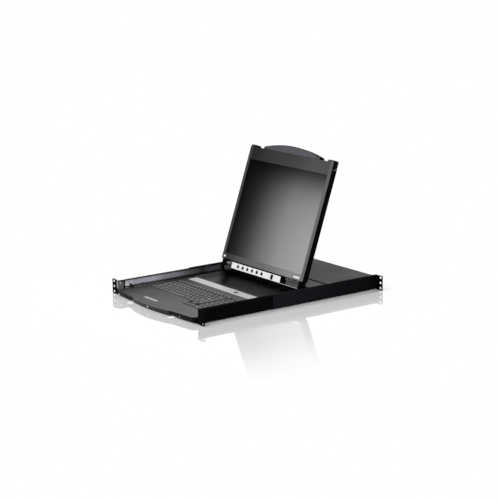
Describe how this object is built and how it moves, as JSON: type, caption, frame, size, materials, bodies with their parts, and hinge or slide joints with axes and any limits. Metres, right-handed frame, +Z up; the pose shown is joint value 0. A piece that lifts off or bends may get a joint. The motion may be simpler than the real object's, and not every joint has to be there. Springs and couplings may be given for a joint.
{
  "type": "rackmount lcd console drawer",
  "caption": "One-unit rack drawer with a keyboard and touchpad tray and a folding flat display, each on its own telescopic slides, with front and rear rack ears.",
  "frame": {"origin": "middle of the underside, at the back face of the front rack ears", "axes": "+X to the right seen from the front, +Y to the rear of the rack, +Z up"},
  "size_m": [0.4826, 0.6881, 0.4234],
  "materials": {
    "chassis_paint": "fine textured black powder coat",
    "cover_paint": "satin dark grey powder coat",
    "tray_paint": "semi-gloss black paint",
    "hinge_metal": "blackened cast hinge bracket",
    "slide_steel": "zinc-plated slide steel",
    "slide_blue": "blued slide steel",
    "screw_steel": "plated screws",
    "port_metal": "plated connector shell",
    "board": "circuit board with parts",
    "black_plastic": "matt black moulding",
    "deck_plastic": "warm dark grey moulding",
    "bezel_plastic": "dark grey moulding",
    "display_plastic": "black moulding",
    "screen_glass": "dark anti-glare panel",
    "handle_plastic": "bluish grey grip",
    "strip_white": "white membrane label",
    "strip_silver": "pale silver strip",
    "button_silver": "silver buttons",
    "button_grey": "dark grey buttons",
    "key_plastic": "dark grey key caps",
    "touchpad_plastic": "fine-grained touch surface"
  },
  "bodies": {
    "root": {"base_pan": "chassis_paint", "rear_cover": "cover_paint", "rear_panel": "chassis_paint", "front_ear_left": "chassis_paint", "front_ear_right": "chassis_paint", "display_outer_slide_left": "slide_steel", "display_outer_slide_right": "slide_steel", "keyboard_outer_slide_left": "slide_steel", "keyboard_outer_slide_right": "slide_steel", "power_inlet": "black_plastic", "console_ports": "port_metal", "control_board": "board", "power_supply": "board", "cover_screws": "screw_steel", "ground_screw": "screw_steel", "bracket_screws": "screw_steel"},
    "rear_bracket_left": {"rear_bracket_left": "chassis_paint"},
    "rear_bracket_right": {"rear_bracket_right": "chassis_paint"},
    "keyboard_middle": {"keyboard_middle_slides": "slide_steel"},
    "display_middle": {"display_middle_slides": "slide_steel"},
    "keyboard_drawer": {"keyboard_inner_slides": "slide_steel", "keyboard_tray": "tray_paint", "keyboard_deck": "deck_plastic", "front_bezel": "deck_plastic", "usb_port": "port_metal", "status_strip": "strip_silver", "touchpad": "touchpad_plastic"},
    "display_carriage": {"display_inner_slide_left": "slide_blue", "display_inner_slide_right": "slide_blue", "carriage_beam": "chassis_paint", "carriage_top_panel": "cover_paint", "hinge_brackets": "hinge_metal"},
    "display": {"display_back_cover": "display_plastic", "display_bezel": "bezel_plastic", "screen_panel": "screen_glass", "driver_board": "board", "display_handle": "handle_plastic", "control_strip": "strip_white", "display_lower_cover": "display_plastic", "hinge_shafts": "slide_steel"},
    "power_rocker": {"power_rocker": "black_plastic"},
    "status_button": {"status_button": "black_plastic"},
    "touchpad_button_left": {"touchpad_button_left": "button_silver"},
    "touchpad_button_right": {"touchpad_button_right": "button_silver"},
    "function_keys": {"function_keys": "key_plastic"},
    "main_keys": {"main_keys": "key_plastic"},
    "space_bar": {"space_bar": "key_plastic"},
    "cursor_keys": {"cursor_keys": "key_plastic"},
    "number_pad": {"number_pad": "key_plastic"},
    "release_lever_left": {"release_lever_left": "black_plastic"},
    "release_lever_right": {"release_lever_right": "black_plastic"},
    "catch_left": {"catch_left": "black_plastic"},
    "catch_right": {"catch_right": "black_plastic"},
    "display_power_button": {"display_power_button": "black_plastic"},
    "menu_button_1": {"menu_button_1": "button_grey"},
    "menu_button_2": {"menu_button_2": "button_grey"},
    "menu_button_3": {"menu_button_3": "button_grey"},
    "menu_button_4": {"menu_button_4": "button_grey"},
    "menu_button_5": {"menu_button_5": "button_grey"},
    "menu_button_6": {"menu_button_6": "button_grey"}
  },
  "joints": [
    {"name": "keyboard_slide", "type": "slide", "parent": "root", "child": "keyboard_drawer", "axis": [0, -1, 0], "range_m": [0, 0.4]},
    {"name": "keyboard_middle_slide", "type": "slide", "parent": "root", "child": "keyboard_middle", "axis": [0, -1, 0], "range_m": [0, 0.2]},
    {"name": "display_slide", "type": "slide", "parent": "root", "child": "display_carriage", "axis": [0, -1, 0], "range_m": [0, 0.4]},
    {"name": "display_middle_slide", "type": "slide", "parent": "root", "child": "display_middle", "axis": [0, -1, 0], "range_m": [0, 0.2]},
    {"name": "display_hinge", "type": "hinge", "parent": "display_carriage", "child": "display", "pos_m": [0, 0.37484, 0.0342], "axis": [1, 0, 0], "range_deg": [-12, 109]},
    {"name": "rear_bracket_left_slide", "type": "slide", "parent": "root", "child": "rear_bracket_left", "axis": [0, 1, 0], "range_m": [-0.131, 0.199]},
    {"name": "rear_bracket_right_slide", "type": "slide", "parent": "root", "child": "rear_bracket_right", "axis": [0, 1, 0], "range_m": [-0.131, 0.199]},
    {"name": "power_rocker_tilt", "type": "hinge", "parent": "root", "child": "power_rocker", "pos_m": [-0.144, 0.63514, 0.021], "axis": [1, 0, 0], "range_deg": [-16, 0]},
    {"name": "status_button_press", "type": "slide", "parent": "keyboard_drawer", "child": "status_button", "axis": [0, 0, -1], "range_m": [0, 0.0008], "stiffness_N_per_m": 800, "springref_m": -0.0004},
    {"name": "touchpad_left_press", "type": "slide", "parent": "keyboard_drawer", "child": "touchpad_button_left", "axis": [0, 0, -1], "range_m": [0, 0.0007], "stiffness_N_per_m": 900, "springref_m": -0.00035},
    {"name": "touchpad_right_press", "type": "slide", "parent": "keyboard_drawer", "child": "touchpad_button_right", "axis": [0, 0, -1], "range_m": [0, 0.0007], "stiffness_N_per_m": 900, "springref_m": -0.00035},
    {"name": "function_keys_press", "type": "slide", "parent": "keyboard_drawer", "child": "function_keys", "axis": [0, 0, -1], "range_m": [0, 0.002], "stiffness_N_per_m": 1500, "springref_m": -0.001},
    {"name": "main_keys_press", "type": "slide", "parent": "keyboard_drawer", "child": "main_keys", "axis": [0, 0, -1], "range_m": [0, 0.002], "stiffness_N_per_m": 4000, "springref_m": -0.001},
    {"name": "space_bar_press", "type": "slide", "parent": "keyboard_drawer", "child": "space_bar", "axis": [0, 0, -1], "range_m": [0, 0.002], "stiffness_N_per_m": 400, "springref_m": -0.001},
    {"name": "cursor_keys_press", "type": "slide", "parent": "keyboard_drawer", "child": "cursor_keys", "axis": [0, 0, -1], "range_m": [0, 0.002], "stiffness_N_per_m": 1500, "springref_m": -0.001},
    {"name": "number_pad_press", "type": "slide", "parent": "keyboard_drawer", "child": "number_pad", "axis": [0, 0, -1], "range_m": [0, 0.002], "stiffness_N_per_m": 2000, "springref_m": -0.001},
    {"name": "menu_button_1_press", "type": "slide", "parent": "display", "child": "menu_button_1", "axis": [0, 0.9455, -0.3256], "range_m": [0, 0.0008], "stiffness_N_per_m": 700, "springref_m": -0.0004},
    {"name": "menu_button_2_press", "type": "slide", "parent": "display", "child": "menu_button_2", "axis": [0, 0.9455, -0.3256], "range_m": [0, 0.0008], "stiffness_N_per_m": 700, "springref_m": -0.0004},
    {"name": "menu_button_3_press", "type": "slide", "parent": "display", "child": "menu_button_3", "axis": [0, 0.9455, -0.3256], "range_m": [0, 0.0008], "stiffness_N_per_m": 700, "springref_m": -0.0004},
    {"name": "menu_button_4_press", "type": "slide", "parent": "display", "child": "menu_button_4", "axis": [0, 0.9455, -0.3256], "range_m": [0, 0.0008], "stiffness_N_per_m": 700, "springref_m": -0.0004},
    {"name": "menu_button_5_press", "type": "slide", "parent": "display", "child": "menu_button_5", "axis": [0, 0.9455, -0.3256], "range_m": [0, 0.0008], "stiffness_N_per_m": 700, "springref_m": -0.0004},
    {"name": "menu_button_6_press", "type": "slide", "parent": "display", "child": "menu_button_6", "axis": [0, 0.9455, -0.3256], "range_m": [0, 0.0008], "stiffness_N_per_m": 700, "springref_m": -0.0004},
    {"name": "display_power_press", "type": "slide", "parent": "display", "child": "display_power_button", "axis": [0, 0.9455, -0.3256], "range_m": [0, 0.0008], "stiffness_N_per_m": 700, "springref_m": -0.0004},
    {"name": "catch_left_slide", "type": "slide", "parent": "display", "child": "catch_left", "axis": [1, 0, 0], "range_m": [0, 0.0025], "stiffness_N_per_m": 600, "springref_m": -0.00125},
    {"name": "catch_right_slide", "type": "slide", "parent": "display", "child": "catch_right", "axis": [-1, 0, 0], "range_m": [0, 0.0025], "stiffness_N_per_m": 600, "springref_m": -0.00125},
    {"name": "release_lever_left_tilt", "type": "hinge", "parent": "keyboard_drawer", "child": "release_lever_left", "pos_m": [-0.203, 0.086, 0.0135], "axis": [1, 0, 0], "range_deg": [0, 3], "stiffness_Nm_per_rad": 0.6, "springref_deg": -2.86},
    {"name": "release_lever_right_tilt", "type": "hinge", "parent": "keyboard_drawer", "child": "release_lever_right", "pos_m": [0.203, 0.086, 0.0135], "axis": [1, 0, 0], "range_deg": [0, 3], "stiffness_Nm_per_rad": 0.6, "springref_deg": -2.86}
  ],
  "couplings": [
    {"joint": "keyboard_middle_slide", "follows": "keyboard_slide", "ratio": 0.5},
    {"joint": "display_middle_slide", "follows": "display_slide", "ratio": 0.5}
  ]
}
